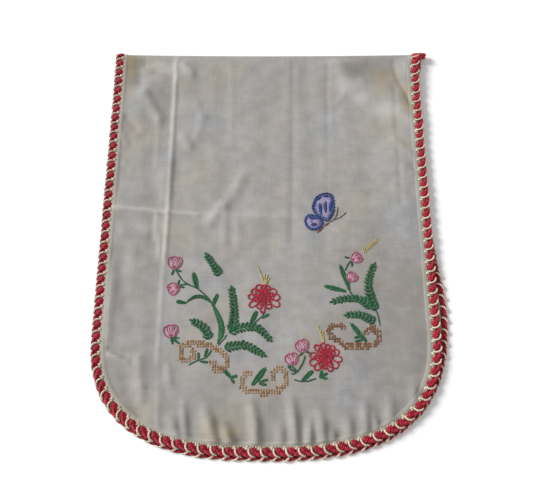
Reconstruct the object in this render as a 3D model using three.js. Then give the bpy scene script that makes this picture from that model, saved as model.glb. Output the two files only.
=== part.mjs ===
// Embroidered table runner, folded in half and lying flat: a hemmed linen panel with two round ends,
// and a crocheted edging that follows its whole edge and turns round both ends of the fold.
// Millimetres, +Z up. The fold lies towards +Y, the round ends towards -Y, and the runner rests on Z = 0.
// Each piece is first laid out as it was cut, flat: x across, run along (plus for the upper half, minus for
// the lower half, 0 at the fold). The function lay() then folds it.
import * as THREE from "three";

// Driving dimensions
const RUNNER_WIDTH = 400;
const UPPER_LENGTH = 513;
const LOWER_LENGTH = 517;
const CLOTH_THICKNESS = 1.2;
const EDGING_WIDTH = 10.7;
const EDGING_THICKNESS = 3.2;
const SEAM_GAP = 0.3;
const LAYER_GAP = 0.8;
const FOLD_RADIUS = 3;
const FOLD_BOW = 2;
const END_DEPTH = 129;
const END_POWER = 2.65;
const STITCH_PITCH = 13.6;

// Sizes worked out from them
const EDGE_MARGIN = EDGING_WIDTH + SEAM_GAP;
const HALF_WIDTH = RUNNER_WIDTH / 2 - EDGE_MARGIN;
const QUARTER_TURN = (Math.PI / 2) * FOLD_RADIUS;
const FOLD_EASE = QUARTER_TURN - FOLD_RADIUS;
const UPPER_STRAIGHT = UPPER_LENGTH - EDGE_MARGIN - END_DEPTH + FOLD_EASE;
const LOWER_STRAIGHT = LOWER_LENGTH - EDGE_MARGIN - END_DEPTH + FOLD_EASE;

// Heights of the middle of the cloth's thickness, in the middle of each layer and along its edges
const LOWER_MIDDLE_Z = CLOTH_THICKNESS / 2;
const LOWER_EDGE_Z = EDGING_THICKNESS / 2;
const UPPER_MIDDLE_Z = LOWER_MIDDLE_Z + CLOTH_THICKNESS + LAYER_GAP;
const UPPER_EDGE_Z = LOWER_EDGE_Z + EDGING_THICKNESS + LAYER_GAP;
const FOLD_Z = LOWER_EDGE_Z + FOLD_RADIUS;
const FOLD_TOP_Z = FOLD_Z + FOLD_RADIUS;

// Where the cloth climbs to its edges, as shares of the way out, and how far the fold's swell runs
const UPPER_CLIMB = { from: 0.66, to: 0.92 };
const LOWER_CLIMB = { from: 0.78, to: 0.95 };
const UPPER_FOLD_RUNOUT = 80;
const LOWER_FOLD_RUNOUT = 40;

// The creases fade out towards the hem and over the crown of the fold
const HEM_FADE = { from: 0.93, to: 1 };
const CROWN_FADE = 12;

// Places where the runner's right side is pushed outwards: at the end of the fold, and on the lower layer,
// whose right side lies out past the upper one. The push grows from a share of the half width to the edge.
const SIDE_PUSHES = [
  { run: -10, spread: 22, height: 6, fromShare: 0.5 },
  { run: -355, spread: 68, height: 10, fromShare: -1 },
];

// Creases of the upper layer, from one point to another: x from the centre line, y from the fold
const CREASES = [
  { x0: -121, y0: -6, x1: -121, y1: -385, halfWidth: 6, height: 1.3 },
  { x0: -121, y0: -385, x1: -117, y1: -480, halfWidth: 6, height: 0.8 },
  { x0: -188, y0: -221, x1: 30, y1: -225, halfWidth: 7, height: 0.9 },
  { x0: 39, y0: -20, x1: 36, y1: -250, halfWidth: 8, height: 0.5 },
  { x0: 100, y0: -10, x1: 92, y1: -215, halfWidth: 8, height: 0.5 },
  { x0: 168, y0: -70, x1: 166, y1: -215, halfWidth: 7, height: 0.8 },
  { x0: -12, y0: -131, x1: -70, y1: -237, halfWidth: 9, height: 1.1 },
  { x0: -161, y0: -9, x1: -123, y1: -32, halfWidth: 9, height: 0.9 },
  { x0: 88, y0: -25, x1: 165, y1: -95, halfWidth: 16, height: 2.0 },
  { x0: 169, y0: -7, x1: 186, y1: -46, halfWidth: 10, height: 1.4 },
  { x0: -178, y0: -404, x1: -158, y1: -412, halfWidth: 7, height: 0.9 },
];

// Gathers that run up from the hem of the round end, a row for each
const GATHERS = [
  { x0: -100, y0: -490, x1: -108, y1: -470, halfWidth: 6, height: 1.0 },
  { x0: -74, y0: -494, x1: -64, y1: -455, halfWidth: 8, height: 1.0 },
  { x0: -48, y0: -494, x1: -62, y1: -464, halfWidth: 8, height: -0.4 },
  { x0: -14, y0: -498, x1: -17, y1: -462, halfWidth: 7, height: 1.5 },
  { x0: 8, y0: -498, x1: 4, y1: -470, halfWidth: 7, height: 0.8 },
  { x0: 27, y0: -498, x1: 25, y1: -474, halfWidth: 6, height: 1.2 },
  { x0: 43, y0: -497, x1: 47, y1: -466, halfWidth: 6, height: 1.5 },
  { x0: 60, y0: -497, x1: 54, y1: -464, halfWidth: 6, height: 1.4 },
  { x0: 84, y0: -494, x1: 89, y1: -466, halfWidth: 7, height: 1.4 },
  { x0: 106, y0: -490, x1: 103, y1: -458, halfWidth: 7, height: 1.6 },
  { x0: 128, y0: -482, x1: 136, y1: -440, halfWidth: 8, height: 1.4 },
  { x0: 163, y0: -452, x1: 160, y1: -425, halfWidth: 8, height: 1.0 },
];

// Steps of one crochet repeat: its reach outwards and its thickness, as shares of the edging's size
const STITCH_STEPS = [
  { name: "puff", reach: 0.84, crown: 1.0 },
  { name: "tail", reach: 1.0, crown: 0.85 },
  { name: "spoke", reach: 0.9, crown: 0.6 },
];

// The edging's section, from its outer point round over the right side: shares of the reach and the crown
const EDGING_SECTION = [
  { out: 1.0, up: 0 },
  { out: 0.74, up: 1 },
  { out: 0.2, up: 1 },
  { out: 0, up: 0 },
  { out: 0.2, up: -1 },
  { out: 0.74, up: -1 },
];

// Steps of the cloth's grid: across the cloth, and along each stretch of its length
const CLOTH_COLUMNS = 44;
const FOLD_ZONE = 45;
const CLOTH_STRETCHES = [
  { from: -LOWER_STRAIGHT - END_DEPTH, to: -LOWER_STRAIGHT, steps: 6 },
  { from: -LOWER_STRAIGHT, to: -FOLD_ZONE, steps: 12 },
  { from: -FOLD_ZONE, to: -QUARTER_TURN, steps: 4 },
  { from: -QUARTER_TURN, to: QUARTER_TURN, steps: 6 },
  { from: QUARTER_TURN, to: FOLD_ZONE, steps: 4 },
  { from: FOLD_ZONE, to: UPPER_STRAIGHT, steps: 9 },
  { from: UPPER_STRAIGHT, to: UPPER_STRAIGHT + END_DEPTH, steps: 9 },
];

// Half the distance over which the laid cloth's slope is measured
const SLOPE_STEP = 0.02;

const { clamp, lerp, smoothstep } = THREE.MathUtils;

function straightRun(run) {
  return run > 0 ? UPPER_STRAIGHT : LOWER_STRAIGHT;
}

function roundNorm(a, b) {
  return (Math.abs(a) ** END_POWER + Math.abs(b) ** END_POWER) ** (1 / END_POWER);
}

// How deep a flat point lies in its round end: 0 on the straight sides, 1 at the tip of the cloth
function endDepth(run) {
  return Math.max(0, (Math.abs(run) - straightRun(run)) / END_DEPTH);
}

// How far out a flat point lies: 0 on the centre line, 1 on the cloth's edge, more on the edging
function edgeShare(x, run) {
  return roundNorm(x / HALF_WIDTH, endDepth(run));
}

// A place on the cloth's grid as a flat point: towards the end, the grid is drawn in to the round outline
function cutPoint(share, gridRun) {
  const depth = endDepth(gridRun);
  if (depth === 0) return { x: HALF_WIDTH * share, run: gridRun };
  const pull = Math.max(Math.abs(share), depth) / roundNorm(share, depth);
  const run = Math.sign(gridRun) * (straightRun(gridRun) + END_DEPTH * depth * pull);
  return { x: HALF_WIDTH * share * pull, run };
}

// The direction out of the cloth, at a flat point of its edge
function outwards(x, run) {
  const acrossSlope = (Math.abs(x) / HALF_WIDTH) ** (END_POWER - 1) / HALF_WIDTH;
  const alongSlope = endDepth(run) ** (END_POWER - 1) / END_DEPTH;
  return new THREE.Vector2(Math.sign(x) * acrossSlope, Math.sign(run) * alongSlope).normalize();
}

// Height that a list of creases adds: each is a bell across its line, and fades out at its two ends
function creaseHeight(creases, x, y) {
  let height = 0;
  for (const crease of creases) {
    const lengthX = crease.x1 - crease.x0;
    const lengthY = crease.y1 - crease.y0;
    const length = Math.hypot(lengthX, lengthY);
    const along = ((x - crease.x0) * lengthX + (y - crease.y0) * lengthY) / length;
    const aside = ((x - crease.x0) * lengthY - (y - crease.y0) * lengthX) / length;
    const past = along - clamp(along, 0, length);
    height += crease.height * Math.exp(-(aside ** 2 + past ** 2) / crease.halfWidth ** 2);
  }
  return height;
}

// How far a flat point is pushed to the right
function sidePush(share, run) {
  let push = 0;
  for (const { run: centre, spread, height, fromShare } of SIDE_PUSHES) {
    push += height * smoothstep(share, fromShare, 1) * Math.exp(-(((run - centre) / spread) ** 2));
  }
  return push;
}

function upperHeight(x, y, out, past) {
  const flat = lerp(UPPER_MIDDLE_Z, UPPER_EDGE_Z, smoothstep(out, UPPER_CLIMB.from, UPPER_CLIMB.to));
  const swell = 1 - smoothstep(past, 0, UPPER_FOLD_RUNOUT);
  const fade = (1 - smoothstep(out, HEM_FADE.from, HEM_FADE.to)) * smoothstep(past, 0, CROWN_FADE);
  const creased = creaseHeight(CREASES, x, y) + creaseHeight(GATHERS, x, y);
  return lerp(flat, FOLD_TOP_Z, swell) + fade * creased;
}

function lowerHeight(out, past) {
  const edge = smoothstep(out, LOWER_CLIMB.from, LOWER_CLIMB.to);
  const fold = 1 - smoothstep(past, 0, LOWER_FOLD_RUNOUT);
  return lerp(LOWER_MIDDLE_Z, LOWER_EDGE_Z, Math.max(edge, fold));
}

// Where a flat point of the middle of the thickness lies on the folded runner
function middlePoint(x, run) {
  const share = x / HALF_WIDTH;
  const turn = clamp(run / FOLD_RADIUS, -Math.PI / 2, Math.PI / 2);
  const past = Math.max(0, Math.abs(run) - QUARTER_TURN);
  const bow = FOLD_BOW * (1 - share ** 2) * (1 - Math.min(1, past / UPPER_STRAIGHT));
  const y = -FOLD_RADIUS * (1 - Math.cos(turn)) - past - bow;
  const point = new THREE.Vector3(x + sidePush(share, run), y, FOLD_Z + FOLD_RADIUS * Math.sin(turn));
  const out = edgeShare(x, run);
  if (past > 0) point.z = run > 0 ? upperHeight(x, y, out, past) : lowerHeight(out, past);
  return point;
}

// Folds a flat point that lies at a height above the middle of the thickness, towards the right side
function lay(x, run, height) {
  const along = middlePoint(x, run + SLOPE_STEP).sub(middlePoint(x, run - SLOPE_STEP));
  const across = middlePoint(x + SLOPE_STEP, run).sub(middlePoint(x - SLOPE_STEP, run));
  const normal = along.cross(across).normalize();
  return middlePoint(x, run).addScaledVector(normal, height);
}

// Distances along the centre line of the cloth at which its grid has a row, from the lower end to the upper
function gridRuns() {
  const runs = [CLOTH_STRETCHES[0].from];
  for (const { from, to, steps } of CLOTH_STRETCHES) {
    for (let step = 1; step <= steps; step += 1) runs.push(lerp(from, to, step / steps));
  }
  return runs;
}

// A flat slab with a grid of the cloth's columns and rows, each corner of which is then laid in its place
function clothGeometry() {
  const runs = gridRuns();
  const rows = runs.length - 1;
  const slab = new THREE.BoxGeometry(2, rows, CLOTH_THICKNESS, CLOTH_COLUMNS, rows);
  const corners = slab.getAttribute("position");
  for (let i = 0; i < corners.count; i += 1) {
    const row = Math.round(rows / 2 - corners.getY(i));
    const cut = cutPoint(corners.getX(i), runs[row]);
    const laid = lay(cut.x, cut.run, corners.getZ(i));
    corners.setXYZ(i, laid.x, laid.y, laid.z);
  }
  slab.computeVertexNormals();
  return slab;
}

// Half of the round outline of one end, from one side of the cloth to the other
class RoundEnd extends THREE.Curve {
  constructor(half, fromAngle, toAngle) {
    super();
    this.half = half;
    this.fromAngle = fromAngle;
    this.toAngle = toAngle;
  }

  getPoint(t, target = new THREE.Vector2()) {
    const angle = lerp(this.fromAngle, this.toAngle, t);
    const across = Math.cos(angle);
    const along = Math.abs(Math.sin(angle));
    const size = roundNorm(across, along);
    const run = this.half * (straightRun(this.half) + (END_DEPTH * along) / size);
    return target.set((HALF_WIDTH * across) / size, run);
  }
}

// The cloth's flat outline: down the left side, round the upper end, up the right side, round the lower end
function clothOutline() {
  const upperLeft = new THREE.Vector2(-HALF_WIDTH, UPPER_STRAIGHT);
  const upperRight = new THREE.Vector2(HALF_WIDTH, UPPER_STRAIGHT);
  const lowerLeft = new THREE.Vector2(-HALF_WIDTH, -LOWER_STRAIGHT);
  const lowerRight = new THREE.Vector2(HALF_WIDTH, -LOWER_STRAIGHT);
  const outline = new THREE.CurvePath();
  outline.add(new THREE.LineCurve(lowerLeft, upperLeft));
  outline.add(new RoundEnd(1, Math.PI, 0));
  outline.add(new THREE.LineCurve(upperRight, lowerRight));
  outline.add(new RoundEnd(-1, 0, Math.PI));
  return outline;
}

// A ring whose sections are set along the cloth's outline, each with the size of its step in the repeat
function edgingGeometry() {
  const outline = clothOutline();
  const sides = EDGING_SECTION.length;
  const repeats = Math.round(outline.getLength() / STITCH_PITCH);
  const stations = repeats * STITCH_STEPS.length;
  const ring = new THREE.TorusGeometry(2, 1, sides, stations);
  const corners = ring.getAttribute("position");
  for (let i = 0; i < corners.count; i += 1) {
    const station = (i % (stations + 1)) % stations;
    const side = EDGING_SECTION[Math.floor(i / (stations + 1)) % sides];
    const stitch = STITCH_STEPS[station % STITCH_STEPS.length];
    const edge = outline.getPoint(station / stations);
    const reach = SEAM_GAP + EDGING_WIDTH * stitch.reach * side.out;
    const flat = outwards(edge.x, edge.y).multiplyScalar(reach).add(edge);
    const laid = lay(flat.x, flat.y, (EDGING_THICKNESS / 2) * stitch.crown * side.up);
    corners.setXYZ(i, laid.x, laid.y, laid.z);
  }
  ring.computeVertexNormals();
  return ring;
}

function piece(name, geometry, color, roughness) {
  const material = new THREE.MeshStandardMaterial({ color, roughness, metalness: 0 });
  const mesh = new THREE.Mesh(geometry, material);
  mesh.name = name;
  return mesh;
}

const runner = new THREE.Group();
runner.add(piece("cloth", clothGeometry(), "#d9d5cb", 0.95));
runner.add(piece("edging", edgingGeometry(), "#a3253a", 0.9));

// The origin is the middle of the runner's box, on the surface that it rests on
const box = new THREE.Box3().setFromObject(runner, true);
const middle = box.getCenter(new THREE.Vector3());
runner.position.set(-middle.x, -middle.y, -box.min.z);

const group = new THREE.Group();
group.add(runner);

export default group;
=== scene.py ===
# %% [markdown]
# # A folded, embroidered table runner
# The runner is a linen panel with two round ends. It is hemmed, edged with red and ecru crochet, sewn with
# flowers on the end that shows, folded in half and laid flat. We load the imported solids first, because every
# piece below is made in their frame, in metres, and lies where they lie.

# %% Load the frame
import math
import bmesh
import bpy
import numpy as np
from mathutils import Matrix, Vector


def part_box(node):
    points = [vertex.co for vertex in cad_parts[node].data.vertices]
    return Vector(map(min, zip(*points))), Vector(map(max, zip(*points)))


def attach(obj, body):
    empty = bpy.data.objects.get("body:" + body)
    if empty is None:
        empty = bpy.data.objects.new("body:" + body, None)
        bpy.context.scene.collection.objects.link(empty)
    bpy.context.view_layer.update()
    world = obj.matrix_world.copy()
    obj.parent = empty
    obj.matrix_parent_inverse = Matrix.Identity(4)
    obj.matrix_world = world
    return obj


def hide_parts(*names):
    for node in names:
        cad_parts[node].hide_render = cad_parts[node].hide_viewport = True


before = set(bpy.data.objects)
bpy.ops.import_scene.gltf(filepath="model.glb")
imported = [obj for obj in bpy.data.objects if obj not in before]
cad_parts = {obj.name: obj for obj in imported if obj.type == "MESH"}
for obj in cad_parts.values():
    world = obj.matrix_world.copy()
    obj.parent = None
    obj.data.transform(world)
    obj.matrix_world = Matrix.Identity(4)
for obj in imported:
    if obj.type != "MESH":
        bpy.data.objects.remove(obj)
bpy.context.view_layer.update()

# %% [markdown]
# ## The studio
# The photograph looks down at the runner from about 70 degrees above the table, on a white ground, with a
# soft window-like light from the upper left. An area lamp could stand for the window, but a sun lamp with a
# wide angle lights the whole cloth evenly, and its softness is one number. It gives the creases their bright
# and dark sides, and an even white world fills the shadows.

# %% Camera
CAMERA_PLACE = (-0.0006, -0.2930, 0.7730)
CAMERA_TILT = math.radians(20)
SENSOR_WIDTH = 36
LENS = 45.46

camera_data = bpy.data.cameras.new("photo_camera")
camera_data.sensor_width = SENSOR_WIDTH
camera_data.lens = LENS
camera = bpy.data.objects.new("photo_camera", camera_data)
camera.location = CAMERA_PLACE
camera.rotation_euler = (CAMERA_TILT, 0, 0)
bpy.context.collection.objects.link(camera)
bpy.context.scene.camera = camera
print("camera at", CAMERA_PLACE)

# %% Lights
TO_THE_WINDOW = (-0.82, 0.28, 0.49)
WINDOW_STRENGTH = 4.4
WINDOW_ANGLE = math.radians(24)
ROOM_STRENGTH = 0.52

bpy.context.scene.view_settings.view_transform = "Standard"
sun_data = bpy.data.lights.new("window_light", "SUN")
sun_data.energy = WINDOW_STRENGTH
sun_data.angle = WINDOW_ANGLE
window_light = bpy.data.objects.new("window_light", sun_data)
window_light.rotation_euler = Vector(TO_THE_WINDOW).to_track_quat("Z", "Y").to_euler()
bpy.context.collection.objects.link(window_light)
world = bpy.data.worlds.new("white_room")
world.use_nodes = True
world.node_tree.nodes["Background"].inputs["Color"].default_value = (1, 1, 1, 1)
world.node_tree.nodes["Background"].inputs["Strength"].default_value = ROOM_STRENGTH
bpy.context.scene.world = world
print("lights and world are set")

# %% [markdown]
# ## A helper for materials
# Every finish below is a small tree of shader nodes. One function adds a node, sets its options and fills or
# links its sockets, and one function turns a colour as it is picked on a screen (sRGB) into the linear value
# that the shader needs.

# %% Node and colour helpers


def linear(hex_colour):
    """A colour such as "#a3253a" as linear red, green, blue and alpha."""
    shares = [int(hex_colour[i:i + 2], 16) / 255 for i in (1, 3, 5)]
    return [c / 12.92 if c <= 0.04045 else ((c + 0.055) / 1.055) ** 2.4 for c in shares] + [1]


def add_node(tree, kind, sockets=None, **options):
    """Adds a node. A socket's value is either another node's output, which is linked, or a constant."""
    node = tree.nodes.new(kind)
    for option, value in options.items():
        setattr(node, option, value)
    for socket, value in (sockets or {}).items():
        if isinstance(value, bpy.types.NodeSocket):
            tree.links.new(value, node.inputs[socket])
        else:
            node.inputs[socket].default_value = value
    return node


def new_material(name):
    """An empty material with its tree, its Principled shader and its output."""
    material = bpy.data.materials.new(name)
    material.use_nodes = True
    tree = material.node_tree
    return material, tree, tree.nodes["Principled BSDF"]


# %% Floor
FLOOR_SIZE = 8
# White paper is fully matt, so the eye sees nothing on it but the runner's soft shadow
floor_material, tree, shader = new_material("white_paper_ground")
shader.inputs["Base Color"].default_value = linear("#f6f6f6")
shader.inputs["Roughness"].default_value = 1
shader.inputs["Specular IOR Level"].default_value = 0
bm = bmesh.new()
bmesh.ops.create_grid(bm, x_segments=1, y_segments=1, size=FLOOR_SIZE / 2)
floor_mesh = bpy.data.meshes.new("floor")
bm.to_mesh(floor_mesh)
bm.free()
floor_mesh.materials.append(floor_material)
floor = bpy.data.objects.new("floor", floor_mesh)
bpy.context.collection.objects.link(floor)
print("floor", FLOOR_SIZE, "m")

# %% [markdown]
# ## The cut and the fold
# A maker cuts the panel flat and folds it afterwards, and so do we. A flat point has an x across the panel
# and a run along it: plus on the upper half, minus on the lower half, 0 at the fold. The function `lay` then
# folds any flat point, at any height above the middle of the cloth, so cloth, yarn and thread fold together.
# Sizes are in millimetres here, and only the laid points are metres.

# %% Sizes of the cut
MM = 0.001
HALF_WIDTH = 189.0
UPPER_LENGTH = 513.0
LOWER_LENGTH = 517.0
EDGE_MARGIN = 11.0
END_DEPTH = 129.0
END_POWER = 2.65
FOLD_RADIUS = 3.0
FOLD_BOW = 2.0
SOLID_THICKNESS = 1.2

QUARTER_TURN = math.pi / 2 * FOLD_RADIUS
FOLD_EASE = QUARTER_TURN - FOLD_RADIUS
UPPER_STRAIGHT = UPPER_LENGTH - EDGE_MARGIN - END_DEPTH + FOLD_EASE
LOWER_STRAIGHT = LOWER_LENGTH - EDGE_MARGIN - END_DEPTH + FOLD_EASE

cloth_low, cloth_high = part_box("cloth")
PLAN_SHIFT = np.array([cloth_low.x / MM + HALF_WIDTH, cloth_high.y / MM - SOLID_THICKNESS / 2, 0])
print("plan shift, mm:", PLAN_SHIFT.round(2))
print("straight runs, mm:", round(UPPER_STRAIGHT, 1), round(LOWER_STRAIGHT, 1))

# %% Heights of the layers
LOWER_MIDDLE_Z, LOWER_EDGE_Z = 0.6, 1.6
UPPER_MIDDLE_Z, UPPER_EDGE_Z = 2.6, 5.6
FOLD_Z = LOWER_EDGE_Z + FOLD_RADIUS
FOLD_TOP_Z = FOLD_Z + FOLD_RADIUS
UPPER_CLIMB = (0.66, 0.92)
LOWER_CLIMB = (0.78, 0.95)
UPPER_FOLD_RUNOUT = 80
LOWER_FOLD_RUNOUT = 40
CROWN_FADE = 12
# Creases fade over this share of the way out, and the hem keeps a part of them
HEM_FADE = (0.96, 1.0)
HEM_KEEPS = 0.3

# Places where the right side is pushed outwards: run, spread, height, and the share of the width it starts at
SIDE_PUSHES = [
    (-10, 22, 6, 0.5),
    (-355, 68, 10, -1),
]
print("layers lie from", LOWER_MIDDLE_Z, "to", FOLD_TOP_Z, "mm above the table")

# %% [markdown]
# ## Creases
# The cloth was stored folded, so it keeps a sharp pressed line down its left side and a fainter one across.
# The crochet is a little tight, so short gathers run in from the hem of the round end. A simulation would
# place them by chance, so each crease is given as a row: the points that its line passes through,
# half its width, and how far it rises or sinks. A gather starts flat in the cloth and grows towards the
# hem.

# %% Crease tables: the points of the crest or trough, half its width, and its rise
PRESSED_CREASES = [
    ([(-119, -3), (-119.5, -60), (-120, -225), (-121.5, -290)], 3.4, 1.5),
    ([(-122, -300), (-123, -425)], 3.2, 0.7),
    ([(-121, -434), (-118, -482)], 3.6, 0.7),
    ([(-188, -221), (-165, -223), (-120, -226), (-85, -229)], 3.6, 1.7),
    ([(-78, -229), (41, -231)], 4.5, 0.6),
    ([(-134, -228), (-134, -262)], 3.0, 1.0),
    ([(-129, -257), (-128, -287)], 2.6, 0.9),
    ([(-139, -95), (-138, -165)], 3.0, 0.5),
    ([(-46.5, -10), (-46, -136)], 3.5, 0.35),
    ([(34, -12), (33, -150), (29, -262)], 3.6, -0.7),
    ([(80, -15), (78, -110), (74, -215)], 3.0, -0.35),
    ([(84, -15), (82, -110)], 3.0, 0.35),
    ([(166, -50), (165, -215)], 3.0, -0.7),
]
SOFT_CREASES = [
    ([(-29, -178), (-41, -203), (-54, -217), (-70, -240)], 7.0, 2.0),
    ([(-50, -218), (-50, -266)], 4.5, 1.0),
    ([(-35, -236), (-33, -272)], 5.0, 0.8),
    ([(-168, -6), (-166, -42)], 9.0, -2.9),
    ([(-160, -14), (-123, -33)], 5.0, -2.5),
    ([(-110, -17), (-97, -30)], 4.5, 2.6),
    ([(-158, -60), (-138, -96)], 7.5, 3.2),
    ([(-160, -42), (-140, -55)], 3.5, 1.3),
    ([(-180, -95), (-166, -110)], 4.0, -1.7),
    ([(-183, -121), (-177, -131)], 4.0, 1.4),
    ([(-157, -122), (-156, -125)], 8.0, -1.4),
    ([(-107, -123), (-97, -134)], 5.0, 1.9),
    ([(-90, -74), (-84, -92)], 5.0, 1.3),
    ([(-80, -90), (-89, -122)], 5.0, 0.9),
    ([(-178, -160), (-168, -168)], 3.5, 1.2),
    ([(-125, -160), (-125, -205)], 8.0, 1.7),
    ([(-172, -250), (-145, -256)], 6.0, 1.9),
    ([(-172, -276), (-158, -280)], 6.0, 1.2),
    ([(94, -8), (108, -48), (150, -62), (190, -88)], 15.0, 3.0),
    ([(166, -12), (172, -38), (190, -80)], 3.5, -1.4),
    ([(190, -8), (194, -45)], 14.0, 2.2),
    ([(101, -63), (88, -76)], 3.5, 0.8),
    ([(164, -125), (170, -137), (188, -151)], 3.5, 1.3),
    ([(167, -159), (173, -171)], 3.0, 1.0),
    ([(173, -161), (183, -175)], 3.0, 1.0),
    ([(-188, -288), (-143, -295)], 2.6, 0.8),
    ([(-181, -296), (-182, -345), (-181, -398)], 6.0, 0.9),
    ([(-181, -322), (-182, -350), (-181, -380)], 6.0, 1.3),
    ([(-171, -276), (-170, -305), (-164, -348)], 8.5, -1.7),
    ([(-150, -300), (-152, -390)], 12.0, -0.8),
    ([(-178, -395), (-160, -402)], 3.2, -1.5),
    ([(-176, -402), (-157, -410)], 3.4, 1.1),
    ([(-176, -402), (-166, -406)], 3.4, 1.1),
    ([(-157, -430), (-140, -468)], 10.0, -2.9),
    ([(-144, -405), (-141, -436)], 4.5, 1.4),
    ([(-138, -438), (-139, -456)], 4.0, 1.4),
    ([(-110, -418), (-108, -437)], 4.5, 1.4),
]
GATHERS = [
    ([(-108, -466), (-97, -489)], 6.0, 4.0),
    ([(-93, -446), (-89, -478), (-87, -492)], 4.5, 2.9),
    ([(-70, -455), (-62, -478), (-56, -495)], 7.0, 6.5),
    ([(-49, -474), (-40, -496)], 6.5, 6.1),
    ([(-17, -444), (-12, -478), (-11, -498)], 6.0, 5.2),
    ([(17, -470), (16, -498)], 6.0, 3.2),
    ([(27, -438), (30, -465), (32, -498)], 5.5, 4.8),
    ([(49, -466), (47, -498)], 4.5, 4.4),
    ([(58, -460), (63, -497)], 6.0, 5.2),
    ([(73, -480), (73, -496)], 4.5, 3.2),
    ([(90, -464), (91, -494)], 6.0, 3.6),
    ([(110, -444), (109, -489)], 6.0, 3.6),
    ([(119, -463), (121, -484)], 4.0, 2.4),
    ([(139, -440), (136, -480)], 6.0, 2.7),
    ([(164, -424), (165, -454)], 5.0, 2.4),
]
LONG_CREASES = PRESSED_CREASES + SOFT_CREASES
# The share of a gather's length along which it grows to its full height
GATHER_GROWTH = 0.6
print(len(LONG_CREASES), "creases and", len(GATHERS), "gathers")

# %% Height of the creases, and of the faint rumples between them
RUMPLE_COUNT = 22
RUMPLE_SLOPE = 0.016
RUMPLE_SPAN = (16, 75)
rumple_draw = np.random.default_rng(7)
RUMPLE_LENGTHS = rumple_draw.uniform(*RUMPLE_SPAN, RUMPLE_COUNT)
RUMPLE_TURNS = rumple_draw.uniform(0, 2 * math.pi, RUMPLE_COUNT)
RUMPLE_STARTS = rumple_draw.uniform(0, 2 * math.pi, RUMPLE_COUNT)


def crease_height(x, y, creases, growth=0.0):
    """Each crease is a bell across its line that fades past the ends, and may grow along a share of it."""
    height = np.zeros_like(x)
    for points, half_width, rise in creases:
        nearest, along, start = np.full_like(x, np.inf), np.zeros_like(x), 0.0
        for (x0, y0), (x1, y1) in zip(points, points[1:]):
            way_x, way_y = x1 - x0, y1 - y0
            length = math.hypot(way_x, way_y)
            share = np.clip(((x - x0) * way_x + (y - y0) * way_y) / length ** 2, 0, 1)
            distance = np.hypot(x - x0 - share * way_x, y - y0 - share * way_y)
            along = np.where(distance < nearest, start + share * length, along)
            nearest = np.minimum(nearest, distance)
            start += length
        grown = np.clip(along / (growth * start), 0, 1) if growth else 1
        height += rise * grown * np.exp(-((nearest / half_width) ** 2))
    return height


def rumple_height(x, y):
    """Many crossing waves of the same steepness: the unevenness of cloth that was washed and not ironed."""
    height = np.zeros_like(x)
    for length, turn, start in zip(RUMPLE_LENGTHS, RUMPLE_TURNS, RUMPLE_STARTS):
        wave = 2 * math.pi / length
        height += RUMPLE_SLOPE / wave * np.sin(wave * (x * math.cos(turn) + y * math.sin(turn)) + start)
    return height


# %% The fold


def smooth_step(value, start, end):
    share = np.clip((value - start) / (end - start), 0, 1)
    return share * share * (3 - 2 * share)


def mix(a, b, share):
    return a + (b - a) * share


def round_norm(a, b):
    return (np.abs(a) ** END_POWER + np.abs(b) ** END_POWER) ** (1 / END_POWER)


def straight_run(run):
    return np.where(run > 0, UPPER_STRAIGHT, LOWER_STRAIGHT)


def end_depth(run):
    """How deep a flat point lies in its round end: 0 on the straight sides, 1 at the tip of the cloth."""
    return np.maximum(0, (np.abs(run) - straight_run(run)) / END_DEPTH)


def edge_share(x, run):
    """How far out a flat point lies: 0 on the centre line, 1 on the cloth's edge, more on the edging."""
    return round_norm(x / HALF_WIDTH, end_depth(run))


def side_push(share, run):
    push = np.zeros_like(share)
    for centre, spread, height, from_share in SIDE_PUSHES:
        push += height * smooth_step(share, from_share, 1) * np.exp(-(((run - centre) / spread) ** 2))
    return push


def upper_height(x, y, out, past):
    flat = mix(UPPER_MIDDLE_Z, UPPER_EDGE_Z, smooth_step(out, *UPPER_CLIMB))
    swell = 1 - smooth_step(past, 0, UPPER_FOLD_RUNOUT)
    fade = (1 - (1 - HEM_KEEPS) * smooth_step(out, *HEM_FADE)) * smooth_step(past, 0, CROWN_FADE)
    relief = crease_height(x, y, LONG_CREASES) + crease_height(x, y, GATHERS, GATHER_GROWTH)
    relief += rumple_height(x, y)
    return mix(flat, FOLD_TOP_Z, swell) + fade * relief


def lower_height(out, past):
    edge = smooth_step(out, *LOWER_CLIMB)
    fold = 1 - smooth_step(past, 0, LOWER_FOLD_RUNOUT)
    return mix(LOWER_MIDDLE_Z, LOWER_EDGE_Z, np.maximum(edge, fold))


def middle_point(x, run):
    """Where a flat point of the middle of the cloth's thickness lies on the folded runner, in millimetres."""
    share = x / HALF_WIDTH
    turn = np.clip(run / FOLD_RADIUS, -math.pi / 2, math.pi / 2)
    past = np.maximum(0, np.abs(run) - QUARTER_TURN)
    bow = FOLD_BOW * (1 - share ** 2) * (1 - np.minimum(1, past / UPPER_STRAIGHT))
    y = -FOLD_RADIUS * (1 - np.cos(turn)) - past - bow
    out = edge_share(x, run)
    layer_z = np.where(run > 0, upper_height(x, y, out, past), lower_height(out, past))
    z = np.where(past > 0, layer_z, FOLD_Z + FOLD_RADIUS * np.sin(turn))
    return np.stack([x + side_push(share, run), y, z], axis=-1)


SLOPE_STEP = 0.05


def lay(flat):
    """Folds flat points (x, run, height above the middle of the cloth) and gives their places in metres."""
    x, run, height = np.asarray(flat, float).T
    along = middle_point(x, run + SLOPE_STEP) - middle_point(x, run - SLOPE_STEP)
    across = middle_point(x + SLOPE_STEP, run) - middle_point(x - SLOPE_STEP, run)
    normal = np.cross(along, across)
    normal /= np.linalg.norm(normal, axis=1, keepdims=True)
    return (middle_point(x, run) + normal * height[:, None] + PLAN_SHIFT) * MM


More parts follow.
